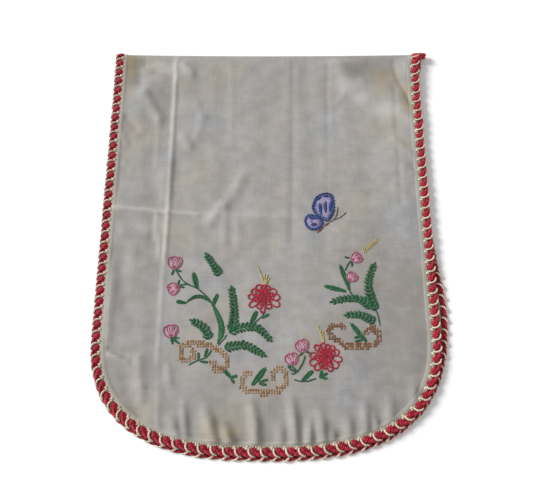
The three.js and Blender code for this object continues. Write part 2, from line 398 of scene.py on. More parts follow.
def run_on_top(x, y):
    """The run of the point of the upper layer that is seen at x and y in the plan, with y from the fold."""
    bow = FOLD_BOW * (1 - (x / HALF_WIDTH) ** 2)
    past = (-y - FOLD_RADIUS - bow) / (1 - bow / UPPER_STRAIGHT)
    return past + QUARTER_TURN


print("middle of the upper layer lies at", lay([(0, run_on_top(0, -250), 0)]).round(4))

# %% [markdown]
# ## The linen panel
# The panel is one sheet, hemmed all round. It starts as a plain grid, closer where creases are sharp and
# along the hem. The grid's corners are drawn in to the round outline and folded, and Solidify gives the
# thickness. The hem is a doubled band five millimetres wide, so it stands up a little, with a groove where it
# is sewn.

# %% Places of the grid's lines
CLOTH_THICKNESS = 0.7
HEM_WIDTH = 5.0
HEM_RISE = 0.6
# The hem's band slopes down to the cloth between these distances from the edge
HEM_TILT = (2.5, 7.5)
GROOVE_DEPTH = 0.3
GROOVE_WIDTH = 0.7


def lines(*stretches):
    """Places of lines: each stretch has a start, an end and about how far apart its lines are."""
    places = [stretches[0][0]]
    for start, end, apart in stretches:
        count = max(1, round(abs(end - start) / apart))
        places += list(np.linspace(start, end, count + 1)[1:])
    return np.array(places)


HEM_ZONE = 9
HEM_LINES = 0.9
column_x = lines(
    (-HALF_WIDTH, -HALF_WIDTH + HEM_ZONE, HEM_LINES),
    (-HALF_WIDTH + HEM_ZONE, -128, 2.6),
    (-128, -114, 1.2),
    (-114, HALF_WIDTH - HEM_ZONE, 2.5),
    (HALF_WIDTH - HEM_ZONE, HALF_WIDTH, HEM_LINES),
)
row_run = lines(
    (-LOWER_STRAIGHT - END_DEPTH, -LOWER_STRAIGHT - END_DEPTH + HEM_ZONE, HEM_LINES),
    (-LOWER_STRAIGHT - END_DEPTH + HEM_ZONE, -45, 9),
    (-45, -QUARTER_TURN, 4),
    (-QUARTER_TURN, QUARTER_TURN, 0.8),
    (QUARTER_TURN, 215, 4),
    (215, 235, 1.6),
    (235, 390, 4),
    (390, 416, 1.6),
    (416, 440, 4),
    (440, UPPER_STRAIGHT + END_DEPTH - HEM_ZONE, 3),
    (UPPER_STRAIGHT + END_DEPTH - HEM_ZONE, UPPER_STRAIGHT + END_DEPTH, HEM_LINES),
)
print(len(column_x), "lines across and", len(row_run), "lines along")

# %% The round outline and the hem
TINY = 1e-9


def cut_point(share, grid_run):
    """Draws the grid in to the round outline of its ends, as ever smaller copies of the outline."""
    depth = end_depth(grid_run)
    size = np.maximum(round_norm(share, depth), TINY)
    pull = np.where(depth > 0, np.maximum(np.abs(share), depth) / size, 1)
    run = np.sign(grid_run) * (straight_run(grid_run) + END_DEPTH * depth * pull)
    return HALF_WIDTH * share * pull, np.where(depth > 0, run, grid_run)


def edge_distance(x, run):
    """About how far a flat point lies inside the cloth's edge, in millimetres."""
    share, depth = np.abs(x) / HALF_WIDTH, end_depth(run)
    size = np.maximum(round_norm(share, depth), TINY)
    slope_x = (share / size) ** (END_POWER - 1) / HALF_WIDTH
    slope_run = (depth / size) ** (END_POWER - 1) / END_DEPTH
    return (1 - size) / np.hypot(slope_x, slope_run)


def hem_height(x, run):
    inside = edge_distance(x, run)
    band = HEM_RISE * (1 - smooth_step(inside, *HEM_TILT))
    groove = GROOVE_DEPTH * np.exp(-(((inside - HEM_WIDTH) / GROOVE_WIDTH) ** 2))
    return band - groove


print("the hem stands up", HEM_RISE, "mm, with a groove", GROOVE_DEPTH, "mm deep")

# %% Cut, hem and fold the panel
bm = bmesh.new()
bmesh.ops.create_grid(bm, x_segments=len(column_x) - 1, y_segments=len(row_run) - 1, size=1)
corners = np.array([vert.co[:2] for vert in bm.verts])
columns = np.rint((corners[:, 0] + 1) / 2 * (len(column_x) - 1)).astype(int)
rows = np.rint((corners[:, 1] + 1) / 2 * (len(row_run) - 1)).astype(int)
flat_x, flat_run = cut_point(column_x[columns] / HALF_WIDTH, row_run[rows])
laid = lay(np.stack([flat_x, flat_run, hem_height(flat_x, flat_run)], axis=1))
for vert, place in zip(bm.verts, laid):
    vert.co = place
bmesh.ops.reverse_faces(bm, faces=bm.faces)
linen_mesh = bpy.data.meshes.new("linen_panel")
bm.to_mesh(linen_mesh)
bm.free()
linen_mesh.shade_smooth()
linen_panel = bpy.data.objects.new("linen_panel", linen_mesh)
bpy.context.collection.objects.link(linen_panel)
thickness = linen_panel.modifiers.new("thickness", "SOLIDIFY")
thickness.thickness = CLOTH_THICKNESS * MM
thickness.offset = 0
print("linen panel:", len(linen_mesh.polygons), "faces, facing", linen_mesh.polygons[-1].normal.z)

# %% [markdown]
# ### What is kept on the cloth's mesh
# The weave and the stains belong to the cloth and not to the room, so they are kept on the mesh, and so are
# painted highlight and painted shade. A UV map holds the flat cut in metres. Three attributes hold how
# stained a point is, with painted shade in some stain spots, how much painted highlight or painted shade a
# point gets, and whether it is on the hem. Stains could be painted on a picture, but a few soft spots in a
# table are easy to move.

# %% Tables of spots of stain and of painted shade and highlight: x, y, half width, half height and strength
# Real stains, and painted brown shade: the spot at x 150 in a hollow and the four spots along the bottom
STAINS_AND_SHADE = [
    (150, -40, 16, 22, 0.8),
    (168, -42, 5, 14, 0.9),
    (181, -70, 6, 22, 1.4),
    (178, -135, 10, 5, 0.6),
    (-181, -32, 7, 32, 0.9),
    (-178, -8, 14, 6, 0.5),
    (-150, -470, 30, 14, 0.3),
    (-58, -486, 14, 14, 0.55),
    (-36, -488, 9, 12, 0.5),
    (20, -490, 150, 18, 0.1),
]
# Painted shade where less light falls: the lower right, the bottom, a hollow and a corner. With a minus
# sign, painted highlight on slopes that face the light
PAINTED_SHADE_AND_HIGHLIGHT = [
    (160, -360, 70, 130, 1.7),
    (20, -480, 200, 45, 0.9),
    (-178, -20, 10, 26, 1.6),
    (138, -24, 34, 22, 1.7),
    (157, -28, 6, 5, 2.2),
    (104, -48, 13, 15, -2.2),
    (123, -65, 12, 8, -2.0),
    (158, -82, 20, 9, -2.4),
    (180, -97, 9, 7, -1.6),
    (186, -22, 8, 14, -1.6),
    (-148, -15, 14, 5, -1.6),
    (-130, -23, 10, 6, -1.6),
    (-107, -24, 10, 6, -1.4),
    (-140, -182, 9, 22, -0.9),
    (-150, -246, 9, 8, -1.2),
    (-132, -245, 4, 20, -1.2),
    (-66, -236, 9, 7, -1.4),
    (-172, -404, 5, 2.2, -1.3),
    (-163, -408, 5, 2.2, -1.3),
]
print(len(STAINS_AND_SHADE), "stains and", len(PAINTED_SHADE_AND_HIGHLIGHT), "greyed or paler spots")

# %% Stains, painted highlight and shade, hem and flat cut on the mesh
HEM_BLUR = 0.6


def keep_on_mesh(mesh, name, values):
    attribute = mesh.attributes.new(name, "FLOAT", "POINT")
    attribute.data.foreach_set("value", values)


plan_y = laid[:, 1] / MM - PLAN_SHIFT[1]
on_upper = flat_run > 0


def spots(table):
    """Soft oval spots from the rows of a table, added up at each point of the panel."""
    return sum(s * np.exp(-((flat_x - x) / w) ** 2 - ((plan_y - y) / h) ** 2) for x, y, w, h, s in table)


# Stains, with painted shade in some of the spots
stain_and_shade = spots(STAINS_AND_SHADE)
keep_on_mesh(linen_mesh, "stain_and_shade", np.where(on_upper, stain_and_shade, 0))
# Painted highlight on the pressed creases' crests and painted shade in their troughs, with the painted spots
painted_light_amount = crease_height(flat_x, plan_y, PRESSED_CREASES) - spots(PAINTED_SHADE_AND_HIGHLIGHT)
keep_on_mesh(linen_mesh, "painted_light", np.where(on_upper, painted_light_amount, 0))
inside_edge = edge_distance(flat_x, flat_run)
keep_on_mesh(linen_mesh, "hem", 1 - smooth_step(inside_edge, HEM_WIDTH - HEM_BLUR, HEM_WIDTH + HEM_BLUR))

loop_corners = np.empty(len(linen_mesh.loops), dtype=np.int32)
linen_mesh.loops.foreach_get("vertex_index", loop_corners)
cut_map = linen_mesh.uv_layers.new(name="flat_cut")
flat_cut = np.stack([flat_x, flat_run], axis=1)[loop_corners] * MM
cut_map.data.foreach_set("uv", flat_cut.ravel())
print("stain up to", round(float(stain_and_shade.max()), 2))

# %% [markdown]
# ### Linen
# Linen is a plain weave of uneven flax threads. It gives the eye a dull, slightly rough, greyish cream, with
# thicker threads that run as faint streaks both ways. Painted highlight lightens the pressed creases, and
# spots of painted shade and highlight darken and lighten the cloth where less or more light falls.
# The real threads lie about 0.6 mm apart. They are drawn 1.1 mm apart here, so that a hint of weave shows.

# %% Streaks and mottle of washed linen
SLUB_APART_MM = 2.4
SLUB_LENGTH_MM = 60
STREAK_SHARE = 0.25
MOTTLE_MM = 17

linen, tree, shader = new_material("washed_linen")
cut = add_node(tree, "ShaderNodeUVMap", uv_map="flat_cut")
cut_mm = add_node(tree, "ShaderNodeVectorMath", {0: cut.outputs[0], "Scale": 1 / MM}, operation="SCALE")


def slubs(squeeze):
    """Streaks along one thread direction: noise squeezed across the threads and drawn out along them."""
    drawn = add_node(tree, "ShaderNodeMapping", {"Vector": cut_mm.outputs[0], "Scale": squeeze})
    return add_node(tree, "ShaderNodeTexNoise", {"Vector": drawn.outputs[0], "Scale": 1, "Detail": 2})


warp_slubs = slubs((1 / SLUB_APART_MM, 1 / SLUB_LENGTH_MM, 1))
weft_slubs = slubs((1 / SLUB_LENGTH_MM, 1 / SLUB_APART_MM, 1))
streaks = add_node(
    tree, "ShaderNodeMath", {0: warp_slubs.outputs["Fac"], 1: weft_slubs.outputs["Fac"]}, operation="ADD"
)
faint_streaks = add_node(
    tree, "ShaderNodeMath", {0: streaks.outputs[0], 1: STREAK_SHARE}, operation="MULTIPLY"
)
mottle = add_node(
    tree,
    "ShaderNodeTexNoise",
    {"Vector": cut_mm.outputs[0], "Scale": 1 / MOTTLE_MM, "Detail": 4, "Roughness": 0.6},
)
shade = add_node(
    tree, "ShaderNodeMath", {0: faint_streaks.outputs[0], 1: mottle.outputs["Fac"]}, operation="ADD"
)
print("streaks and mottle:", len(tree.nodes), "nodes")

# %% Colour of washed linen
# How strongly painted highlight and painted shade lighten and darken the linen
PAINTED_LIGHT_SHARE = 0.3
WARMTH_MM = 70
HEM_SHARE = 0.4

# Painted highlight and painted shade from the mesh, added to the random tone
painted_light_mark = add_node(tree, "ShaderNodeAttribute", attribute_name="painted_light")
tone_and_painted_light = add_node(
    tree,
    "ShaderNodeMath",
    {0: painted_light_mark.outputs["Fac"], 1: PAINTED_LIGHT_SHARE, 2: shade.outputs[0]},
    operation="MULTIPLY_ADD",
)
tone = add_node(
    tree, "ShaderNodeMapRange", {"Value": tone_and_painted_light.outputs[0], "From Min": 0.25, "From Max": 1.25}
)
flax = add_node(
    tree,
    "ShaderNodeMix",
    {0: tone.outputs[0], 6: linear("#868482"), 7: linear("#aaa9a7")},
    data_type="RGBA",
)
warmth = add_node(
    tree, "ShaderNodeTexNoise", {"Vector": cut_mm.outputs[0], "Scale": 1 / WARMTH_MM, "Detail": 2}
)
warm_share = add_node(
    tree, "ShaderNodeMapRange", {"Value": warmth.outputs["Fac"], "From Min": 0.35, "From Max": 0.65}
)
tint = add_node(
    tree,
    "ShaderNodeMix",
    {0: warm_share.outputs[0], 6: linear("#fbfcff"), 7: linear("#fff9f0")},
    data_type="RGBA",
)
tinted = add_node(
    tree,
    "ShaderNodeMix",
    {0: 1.0, 6: flax.outputs[2], 7: tint.outputs[2]},
    data_type="RGBA",
    blend_type="MULTIPLY",
)
# Stain colour, used also as painted brown shade in a hollow and along the bottom
stain_and_shade_mark = add_node(tree, "ShaderNodeAttribute", attribute_name="stain_and_shade")
stain_and_shade_share = add_node(
    tree, "ShaderNodeMath", {0: stain_and_shade_mark.outputs["Fac"], 1: mottle.outputs["Fac"]}, operation="MULTIPLY"
)
stained_and_shaded = add_node(
    tree,
    "ShaderNodeMix",
    {0: stain_and_shade_share.outputs[0], 6: tinted.outputs[2], 7: linear("#978455")},
    data_type="RGBA",
)
hem_mark = add_node(tree, "ShaderNodeAttribute", attribute_name="hem")
hem_share = add_node(tree, "ShaderNodeMath", {0: hem_mark.outputs["Fac"], 1: HEM_SHARE}, operation="MULTIPLY")
hemmed = add_node(
    tree,
    "ShaderNodeMix",
    {0: hem_share.outputs[0], 6: stained_and_shaded.outputs[2], 7: linear("#aaa699")},
    data_type="RGBA",
)
tree.links.new(hemmed.outputs[2], shader.inputs["Base Color"])
print("linen colour:", len(tree.nodes), "nodes so far")

# %% Weave of washed linen
WEAVE_MM = 1.1
# A wave texture of scale 1 repeats every 2 pi / 20 units
WAVE_PERIOD = 2 * math.pi / 20
WEAVE_WANDER = 1.2
SLUB_BUMP = 0.8
WEAVE_DEPTH_MM = 0.25

warp, weft = [
    add_node(
        tree,
        "ShaderNodeTexWave",
        {
            "Vector": cut_mm.outputs[0],
            "Scale": WAVE_PERIOD / WEAVE_MM,
            "Distortion": WEAVE_WANDER,
            "Detail Scale": 0.5,
        },
        bands_direction=direction,
    )
    for direction in ("X", "Y")
]
weave = add_node(
    tree, "ShaderNodeMath", {0: warp.outputs["Fac"], 1: weft.outputs["Fac"]}, operation="ADD"
)
weave_slubs = add_node(
    tree,
    "ShaderNodeMath",
    {0: streaks.outputs[0], 1: SLUB_BUMP, 2: weave.outputs[0]},
    operation="MULTIPLY_ADD",
)
bump = add_node(
    tree,
    "ShaderNodeBump",
    {"Height": weave_slubs.outputs[0], "Strength": 0.35, "Distance": WEAVE_DEPTH_MM * MM},
)
tree.links.new(bump.outputs[0], shader.inputs["Normal"])
shader.inputs["Roughness"].default_value = 0.92
shader.inputs["Specular IOR Level"].default_value = 0.2
shader.inputs["Sheen Weight"].default_value = 0.08
shader.inputs["Sheen Roughness"].default_value = 0.5
linen_mesh.materials.append(linen)
print("washed linen:", len(tree.nodes), "nodes")

# %% [markdown]
# ## Yarn and thread
# The edging and the embroidery are hundreds of short lengths of yarn and thread. Each is the same small
# shape, a round strand that narrows to a point at both ends, where it goes into the work. We make all
# strands of one kind at once from arrays, lay them on the fold, and join them to one mesh for each colour.

# %% Strands from arrays
TABLE_GAP = 0.2


def strands(paths, radii, sides, flatness=1.0):
    """Round strands along paths (strand, station, xyz) in flat millimetres: points, faces and UVs.

    The first and last station of a path are the strand's closed tips.
    U goes round a strand, V along it in mm.
    """
    paths = np.asarray(paths, float)
    count, stations = paths.shape[:2]
    radii = np.broadcast_to(radii, (count, stations))
    ahead = np.gradient(paths, axis=1)
    ahead /= np.linalg.norm(ahead, axis=2, keepdims=True)
    aside = np.cross(ahead, (0, 0, 1))
    aside /= np.linalg.norm(aside, axis=2, keepdims=True)
    above = np.cross(aside, ahead)
    angles = np.arange(sides) * 2 * math.pi / sides
    spokes = np.cos(angles)[:, None] * aside[:, :, None]
    spokes = spokes + flatness * np.sin(angles)[:, None] * above[:, :, None]
    rings = paths[:, :, None] + radii[:, :, None, None] * spokes
    tips = paths[:, [0, -1]]
    points = np.concatenate([tips, rings[:, 1:-1].reshape(count, -1, 3)], axis=1)

    reach = np.linalg.norm(np.diff(paths, axis=1), axis=2).cumsum(axis=1)
    reach = np.concatenate([np.zeros((count, 1)), reach], axis=1)
    faces, face_uvs = [], []
    for side in range(sides):
        after = (side + 1) % sides
        first, first_after = 2 + side, 2 + after
        last, last_after = first + (stations - 3) * sides, first_after + (stations - 3) * sides
        faces.append((0, first, first_after))
        face_uvs.append(((side + 0.5, 0), (side, 1), (side + 1, 1)))
        faces.append((1, last_after, last))
        face_uvs.append(((side + 0.5, stations - 1), (side + 1, stations - 2), (side, stations - 2)))
        for ring in range(stations - 3):
            low, high = 2 + ring * sides, 2 + (ring + 1) * sides
            faces.append((low + side, high + side, high + after, low + after))
            face_uvs.append(((side, ring + 1), (side, ring + 2), (side + 1, ring + 2), (side + 1, ring + 1)))
    one = points.shape[1]
    all_faces = [tuple(corner + one * strand for corner in face) for strand in range(count) for face in faces]
    corner_side = np.array([uv[0] for face in face_uvs for uv in face]) / sides
    corner_station = np.array([uv[1] for face in face_uvs for uv in face])
    corner_sides = np.broadcast_to(corner_side, (count, len(corner_side)))
    uvs = np.stack([corner_sides, reach[:, corner_station]], axis=2)
    return points.reshape(-1, 3), all_faces, uvs.reshape(-1, 2)


def strand_piece(name, parts, material):
    """Lays several groups of strands on the fold and joins them to one object with one material."""
    points = np.concatenate([part[0] for part in parts])
    faces, start = [], 0
    for part in parts:
        faces += [tuple(corner + start for corner in face) for face in part[1]]
        start += len(part[0])
    laid_points = lay(points)
    laid_points[:, 2] = np.maximum(laid_points[:, 2], TABLE_GAP * MM)
    mesh = bpy.data.meshes.new(name)
    mesh.from_pydata(laid_points.tolist(), [], faces)
    strand_map = mesh.uv_layers.new(name="strand")
    strand_map.data.foreach_set("uv", np.concatenate([part[2] for part in parts]).ravel())
    mesh.shade_smooth()
    mesh.materials.append(material)
    piece = bpy.data.objects.new(name, mesh)
    bpy.context.collection.objects.link(piece)
    print(name, "has", len(points), "points and", len(faces), "faces")
    return piece


# %% [markdown]
# ### Spun cotton
# Crochet cotton and embroidery floss are several fine cotton threads twisted round each other. The twist
# shows as slanting grooves that catch the light, and the dye is never quite even. A wave that runs slanting
# along the strand's own map draws the twist, as bumps and as painted shade in the grooves, and noise shifts
# the dye. Both mix between a lit and a shaded copy of the thread's colour.

# %% Material of a spun thread
DYE_MM = 7
# Share of the twist wave, which paints shade into the grooves, in the tone
PLY_SHARE = 0.45


def spun_cotton(name, light, dark, twist_mm, shine):
    """A twisted cotton thread: its lit and its shaded colour, the length of one twist and its sheen."""
    material, tree, shader = new_material(name)
    strand_map = add_node(tree, "ShaderNodeUVMap", uv_map="strand")
    slant = add_node(
        tree, "ShaderNodeMapping", {"Vector": strand_map.outputs[0], "Scale": (1, 1 / twist_mm, 1)}
    )
    ply = add_node(
        tree,
        "ShaderNodeTexWave",
        {"Vector": slant.outputs[0], "Scale": WAVE_PERIOD, "Distortion": 0.4},
        bands_direction="DIAGONAL",
    )
    place = add_node(tree, "ShaderNodeTexCoord")
    dye = add_node(
        tree,
        "ShaderNodeTexNoise",
        {"Vector": place.outputs["Object"], "Scale": 1 / (DYE_MM * MM), "Detail": 3},
    )
    depth = add_node(
        # Tone between the lit and the shaded colour: painted shade in the twist's grooves, and random dye
        tree,
        "ShaderNodeMath",
        {0: ply.outputs["Fac"], 1: PLY_SHARE, 2: dye.outputs["Fac"]},
        operation="MULTIPLY_ADD",
    )
    tone = add_node(
        tree, "ShaderNodeMapRange", {"Value": depth.outputs[0], "From Min": 0.3, "From Max": 1.05}
    )
    colour = add_node(
        tree, "ShaderNodeMix", {0: tone.outputs[0], 6: linear(dark), 7: linear(light)}, data_type="RGBA"
    )
    tree.links.new(colour.outputs[2], shader.inputs["Base Color"])
    bump = add_node(
        tree, "ShaderNodeBump", {"Height": ply.outputs["Fac"], "Strength": 0.5, "Distance": 0.2 * MM}
    )
    tree.links.new(bump.outputs[0], shader.inputs["Normal"])
    shader.inputs["Roughness"].default_value = 0.75
    shader.inputs["Specular IOR Level"].default_value = shine
    shader.inputs["Sheen Weight"].default_value = 0.1
    return material


# %% [markdown]
# ## The crocheted edging
# The edging is one row of crochet in two colours, worked round the whole hem: fat red puffs, each with a red
# tail to the next, held by ecru loops that show as crescents and spokes. One repeat is a short table of
# strands, in millimetres ahead along the hem, out from it and up. All repeats are then set along the outline.

# %% The outline that the crochet follows
OUTLINE_STEPS = 400
STITCH_PITCH = 13.6


def round_end(half, angles):
    across, along = np.cos(angles), np.abs(np.sin(angles))
    size = round_norm(across, along)
    straight = UPPER_STRAIGHT if half > 0 else LOWER_STRAIGHT
    return np.stack([HALF_WIDTH * across / size, half * (straight + END_DEPTH * along / size)], axis=1)


turn = np.linspace(0, math.pi, OUTLINE_STEPS)
outline = np.concatenate([round_end(1, math.pi - turn), round_end(-1, turn)])
outline = np.concatenate([outline[-1:], outline])
outline_length = np.concatenate([[0], np.linalg.norm(np.diff(outline, axis=0), axis=1).cumsum()])
repeats = round(outline_length[-1] / STITCH_PITCH)
pitch = outline_length[-1] / repeats
print("outline", round(outline_length[-1]), "mm, with", repeats, "repeats of", round(pitch, 2), "mm")


def beside_outline(ahead, out):
    """The flat point that lies a length along the outline and a distance out of the cloth."""
    length = outline_length[-1]
    place = np.stack([np.interp(ahead % length, outline_length, axis) for axis in outline.T], axis=-1)
    before, after = [
        np.stack([np.interp((ahead + step) % length, outline_length, axis) for axis in outline.T], axis=-1)
        for step in (-1, 1)
    ]
    along = after - before
    along /= np.linalg.norm(along, axis=-1, keepdims=True)
    outwards = np.stack([-along[..., 1], along[..., 0]], axis=-1)
    return place + outwards * out[..., None]


# %% One repeat of crochet
PUFF_STRANDS = [-2.2, 0.0, 2.2]
PUFF_CENTRE = np.array([0.2, 4.7])
PUFF_LENGTHWAYS = np.array([0.62, -0.78])
PUFF_SIDEWAYS = np.array([0.78, 0.62])
PUFF_STATIONS = [
    (-4.3, 0.5, -0.3),
    (-3.4, 0.75, 0.4),
    (-1.3, 1.0, 0.9),
    (1.3, 1.0, 0.9),
    (3.4, 0.75, 0.4),
    (4.3, 0.5, -0.3),
]
PUFF_CROWN = 1.25
PUFF_ROUNDING = 0.12
PUFF_RADII = [0, 1.3, 1.65, 1.65, 1.3, 0]

RED_TAIL = [
    (1.0, 5.4, 0.0),
    (2.2, 6.6, 0.5),
    (4.8, 8.2, 0.7),
    (7.8, 9.2, 0.5),
    (10.6, 9.6, 0.0),
    (11.6, 9.6, -0.4),
]
TAIL_RADII = [0, 1.6, 1.9, 1.8, 1.3, 0]
OUTER_ROW = [(-1.0, 8.4, -0.6), (0.0, 8.4, -0.4), (6.8, 8.2, -0.5), (13.0, 8.4, -0.4), (14.0, 8.4, -0.6)]
OUTER_ROW_RADII = [0, 1.4, 1.5, 1.4, 0]
MIDDLE_ROW = [(-1.0, 5.0, -0.7), (0.0, 5.0, -0.5), (6.8, 5.2, -0.2), (13.0, 5.0, -0.5), (14.0, 5.0, -0.7)]
MIDDLE_ROW_RADII = [0, 1.1, 1.3, 1.1, 0]
CRESCENT = [
    (-4.4, 0.2, 0.0),
    (-4.9, 1.6, 1.2),
    (-5.2, 4.4, 1.9),
    (-4.4, 7.4, 2.1),
    (-2.2, 9.8, 1.9),
    (1.2, 10.8, 1.0),
    (2.6, 10.7, 0.0),
]
CRESCENT_RADII = [0, 0.9, 1.15, 1.2, 1.1, 0.8, 0]
SPOKES = [
    [(6.2, -1.0, 0.0), (6.2, -0.4, 0.9), (6.0, 1.4, 1.3), (5.6, 3.4, 1.1), (5.4, 4.2, 0.3)],
    [(7.8, -1.0, 0.0), (7.7, -0.4, 0.7), (7.2, 1.2, 1.0), (6.6, 2.8, 0.9), (6.4, 3.5, 0.2)],
]
SPOKE_RADII = [0, 0.6, 0.7, 0.6, 0]
INNER_ROWS = [0.9, 2.6]
INNER_ROW = [(-1.0, 0, -0.7), (0.0, 0, -0.5), (6.8, 0, -0.4), (13.0, 0, -0.5), (14.0, 0, -0.7)]
INNER_ROW_RADII = [0, 0.9, 1.0, 0.9, 0]
FOUNDATION = [(-1.2, 1.1, -0.2), (-0.9, 0.9, 0.4), (0.0, 0.2, 0.6), (0.9, -0.5, 0.4), (1.2, -0.8, -0.2)]
FOUNDATION_RADII = [0, 0.5, 0.6, 0.5, 0]
FOUNDATION_PER_REPEAT = 5
# The edging sticks out where it goes round the right end of the fold: x and height of three strands
FOLD_TUFT = [(188, 0.2), (191, 1.0), (199, 1.2), (206, 0.8), (208.5, 0.1)]
FOLD_TUFT_RUNS = [1.5, 5.0, 8.5]
FOLD_TUFT_RADII = [0, 1.8, 2.1, 1.9, 0]
YARN_SIDES = 6
YARN_UNEVEN = 0.22
yarn_draw = np.random.default_rng(11)


def all_repeats(stations, radii, shift=0.0, face=1):
    """Sets one strand of the repeat in every repeat round the outline, each a little uneven."""
    ahead, out, up = np.array(stations, float).T
    starts = np.arange(repeats)[:, None] * pitch + shift
    uneven = yarn_draw.normal(0, YARN_UNEVEN, (3, repeats, 1))
    flat = beside_outline(starts + ahead + uneven[0], out + uneven[1] + np.zeros((repeats, 1)))
    height = np.broadcast_to(face * up, flat.shape[:2]) * (1 + 0.5 * uneven[2])
    return strands(np.concatenate([flat, height[..., None]], axis=2), np.array(radii), YARN_SIDES)


red_parts = [
    all_repeats(RED_TAIL, TAIL_RADII),
    all_repeats(OUTER_ROW, OUTER_ROW_RADII),
    all_repeats(MIDDLE_ROW, MIDDLE_ROW_RADII),
]
for offset in PUFF_STRANDS:
    stations = []
    for lengthways, spread, up in PUFF_STATIONS:
        place = PUFF_CENTRE + lengthways * PUFF_LENGTHWAYS + offset * spread * PUFF_SIDEWAYS
        stations.append((*place, up * (PUFF_CROWN - PUFF_ROUNDING * offset ** 2)))
    red_parts.append(all_repeats(stations, PUFF_RADII))

tuft_x, tuft_up = np.array(FOLD_TUFT).T
tuft = np.stack(np.broadcast_arrays(tuft_x, np.array(FOLD_TUFT_RUNS)[:, None], tuft_up), axis=2)
red_parts.append(strands(tuft, np.array(FOLD_TUFT_RADII), YARN_SIDES))

ecru_parts = []
for face in (1, -1):
    ecru_parts.append(all_repeats(CRESCENT, CRESCENT_RADII, face=face))
    for spoke in SPOKES:
        ecru_parts.append(all_repeats(spoke, SPOKE_RADII, face=face))
for out in INNER_ROWS:
    ecru_parts.append(all_repeats([(ahead, out, up) for ahead, _, up in INNER_ROW], INNER_ROW_RADII))
for stitch in range(FOUNDATION_PER_REPEAT):
    ecru_parts.append(all_repeats(FOUNDATION, FOUNDATION_RADII, shift=stitch * pitch / FOUNDATION_PER_REPEAT))

# Lit and shaded copies of each yarn's colour, for the painted shade in the twist's grooves
red_yarn = spun_cotton("red_crochet_cotton", "#ae1530", "#6a0b1b", 1.6, 0.35)
ecru_yarn = spun_cotton("ecru_crochet_cotton", "#d6ccb6", "#a3977d", 1.4, 0.25)
red_crochet = strand_piece("red_crochet", red_parts, red_yarn)
ecru_crochet = strand_piece("ecru_crochet", ecru_parts, ecru_yarn)

# %% [markdown]
# ## Straight stitches
# Hand embroidery is nearly all short straight stitches: a stem is a row of them that overlap, a leaf is a
# fan of them, a petal's outline is a ring of them. So we note every stitch as two points of the plan and a
# thread colour, and let each motif be a small function that sews stitches.

# %% Noting stitches
FLOSS = 1.15
stitches = {}
sewing_draw = np.random.default_rng(23)


def sew(thread, start, end, width=FLOSS, above=0.0):
    """Notes one stitch between two points of the plan, lifted above others if it is sewn over them."""
    stitches.setdefault(thread, []).append((*start, *end, width, above))


def curve(points, step):
    """Points about a step apart along a smooth curve through the given points."""
    points = np.array(points, float)
    knots = np.vstack([2 * points[0] - points[1], points, 2 * points[-1] - points[-2]])
    share = np.linspace(0, 1, 16, endpoint=False)[:, None]
    fine = []
    for a, b, c, d in zip(knots, knots[1:], knots[2:], knots[3:]):
        bend = a - 2.5 * b + 2 * c - 0.5 * d
        sway = 1.5 * (b - c) + 0.5 * (d - a)
        fine.append(b + 0.5 * share * (c - a) + share ** 2 * bend + share ** 3 * sway)
    fine = np.vstack(fine + [points[-1:]])
    length = np.concatenate([[0], np.linalg.norm(np.diff(fine, axis=0), axis=1).cumsum()])
    places = np.linspace(0, length[-1], max(2, round(length[-1] / step) + 1))
    return np.stack([np.interp(places, length, axis) for axis in fine.T], axis=1)


def frame_of(base, tip):
    """Base, the way to the tip, the unit direction and the unit direction to its left."""
    base, tip = np.array(base, float), np.array(tip, float)
    way = tip - base
    ahead = way / np.linalg.norm(way)
    return base, way, ahead, np.array([-ahead[1], ahead[0]])


# %% Stems, leaves and ferns


def stem(thread, points, width=1.6, step=1.7):
    """Stem stitch: each stitch starts halfway along the one before, so the row looks like a rope."""
    path = curve(points, step)
    for start, end in zip(path, path[2:]):
        sew(thread, start, end, width)


def leaf(thread, base, tip, width):
    """Leaf stitch: stitches fan from the midrib to both edges, and meet at the tip."""
    base, way, ahead, left = frame_of(base, tip)
    length = np.linalg.norm(way)
    for share in np.linspace(0.02, 0.82, max(4, round(length / 1.4))):
        half = width / 2 * math.sin(math.pi * min(1, share * 0.85 + 0.14)) ** 0.8
        rib = base + share * way
        for side in (-1, 1):
            sew(thread, rib - 0.4 * ahead, rib + ahead * (0.7 * half + 1.2) + side * half * left, 1.3)
    sew(thread, base + 0.7 * way, base + way, 1.3)


def outlined_leaf(thread, base, tip, width):
    """A leaf drawn by its two edges and its midrib, with the cloth showing in between."""
    base, way, _, left = frame_of(base, tip)
    for side in (-1, 1):
        stem(thread, [base, base + 0.45 * way + side * width / 2 * left, base + way])
    stem(thread, [base, base + 0.5 * way, base + 0.85 * way], 0.9)


def fern(thread, points, reach, apart=4.4, width=2.9):
    """Fern stitch: a spine with plump slanting leaflets in pairs, shorter towards the tip."""
    path = curve(points, apart)
    stem(thread, points, 1.2)
    for number, (start, end) in enumerate(zip(path, path[1:])):
        share = number / (len(path) - 1)
        ahead = (end - start) / np.linalg.norm(end - start)
        left = np.array([-ahead[1], ahead[0]])
        size = 1.1 * reach * (1 - 0.4 * share) * sewing_draw.uniform(0.9, 1.1)
        for side in (-1, 1):
            slant = 0.74 * ahead + side * 0.67 * left
            sew(thread, start + 0.8 * slant, start + size * slant, width)
    sew(thread, path[-1] - 0.2 * reach * ahead, path[-1] + 0.5 * reach * ahead, width)


# %% Flowers


def loop(thread, base, tip, width, count=10, thread_width=FLOSS):
    """A petal in outline: a drop-shaped ring of stitches, pointed at its base."""
    base, way, _, left = frame_of(base, tip)
    turns = np.linspace(0, 2 * math.pi, count + 1)
    along = 0.5 - 0.5 * np.cos(turns)
    aside = np.sin(turns) * (0.45 + 0.55 * along) * width / 2
    ring = base + along[:, None] * way + aside[:, None] * left
    for start, end in zip(ring, ring[1:]):
        sew(thread, start, end, thread_width)


